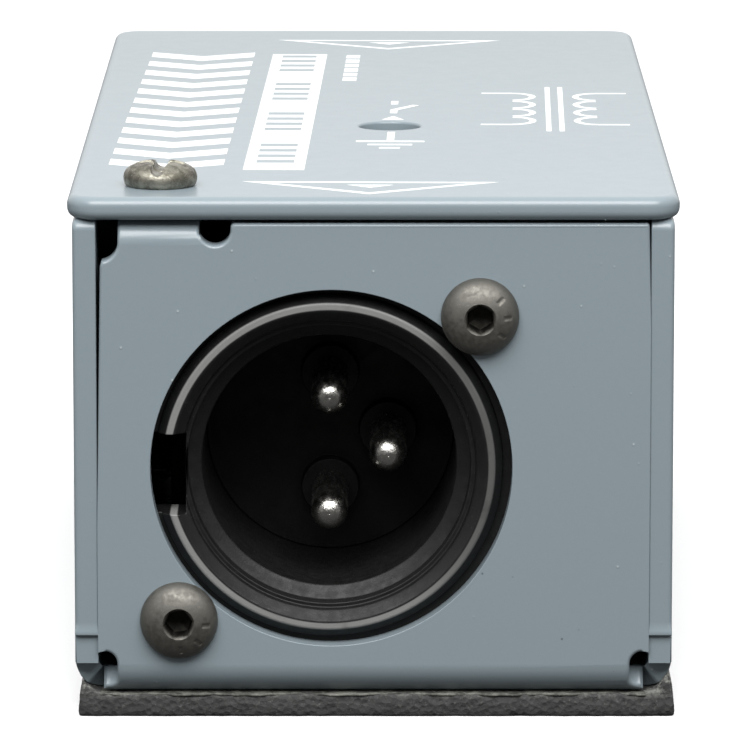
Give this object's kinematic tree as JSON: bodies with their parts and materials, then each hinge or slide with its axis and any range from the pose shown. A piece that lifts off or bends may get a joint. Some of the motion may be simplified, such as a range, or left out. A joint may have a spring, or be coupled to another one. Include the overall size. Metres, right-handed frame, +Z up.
{
  "type": "direct injection box",
  "caption": "Passive line-isolator box in folded steel: pin connector at one end, latching socket connector at the other, recessed ground-lift button in a screwed lid, no-slip pad beneath.",
  "frame": {"origin": "under the middle of the case, in the plane of the no-slip pad's underside", "axes": "+Z up, -Y towards the output end with the pins, +Y towards the input end with the sockets, +X to the right seen from the output end"},
  "size_m": [0.039, 0.086, 0.0357],
  "materials": {
    "case_paint": "fine-textured powder coat",
    "pad": "matt fibrous rubber",
    "black_plastic": "matt, glass-filled",
    "bright_pins": "silver-plated",
    "gold_contacts": "tinned and gold-flashed brass",
    "dark_screws": "black-oxide steel, worn satin",
    "bronze_screw": "antique zinc, dull",
    "plated_steel": "bright zinc",
    "board": "glass-epoxy with solder mask",
    "core_iron": "bare laminations",
    "bobbin_nylon": "natural nylon",
    "copper_wire": "enamelled copper wire",
    "white_plastic": "moulded",
    "resistor_body": "lacquered",
    "capacitor_body": "dipped epoxy"
  },
  "bodies": {
    "case": {"chassis": "case_paint", "lid": "case_paint", "lid_hook": "plated_steel", "lid_screw": "bronze_screw", "no_slip_pad": "pad", "output_shell": "black_plastic", "output_insert": "black_plastic", "output_pin_1": "bright_pins", "output_pin_2": "bright_pins", "output_pin_3": "bright_pins", "output_legs": "gold_contacts", "output_screws": "dark_screws", "output_nuts": "plated_steel", "ground_tag": "gold_contacts", "input_shell": "black_plastic", "input_insert": "black_plastic", "input_contact_1": "gold_contacts", "input_contact_2": "gold_contacts", "input_contact_3": "gold_contacts", "input_legs": "gold_contacts", "input_latch_pin": "plated_steel", "input_latch_spring": "plated_steel", "input_screws": "dark_screws", "input_nuts": "plated_steel", "circuit_board": "board", "board_posts": "plated_steel", "board_screws": "plated_steel", "network_resistor": "resistor_body", "network_capacitor": "capacitor_body", "transformer_can": "plated_steel", "transformer_core": "core_iron", "transformer_bobbin": "bobbin_nylon", "transformer_primary": "copper_wire", "transformer_secondary": "copper_wire", "transformer_base": "black_plastic", "transformer_leads": "plated_steel", "lift_switch_body": "black_plastic", "lift_switch_cover": "plated_steel", "lift_switch_terminals": "plated_steel", "lift_spring": "plated_steel"},
    "ground_lift_button": {"lift_plunger": "white_plastic", "lift_stem": "black_plastic"},
    "release_latch": {"input_latch": "plated_steel"}
  },
  "joints": [
    {"name": "ground_lift_press", "type": "slide", "parent": "case", "child": "ground_lift_button", "axis": [0, 0, -1], "range_m": [0, 0.0022], "stiffness_N_per_m": 700, "springref_m": -0.0014, "deforming": ["lift_spring"]},
    {"name": "release_latch_press", "type": "hinge", "parent": "case", "child": "release_latch", "pos_m": [-0.00255, 0.0373, 0.028], "axis": [-1, 0, 0], "range_deg": [0, 11], "stiffness_Nm_per_rad": 0.06, "springref_deg": -6.88, "deforming": ["input_latch_spring"]}
  ]
}
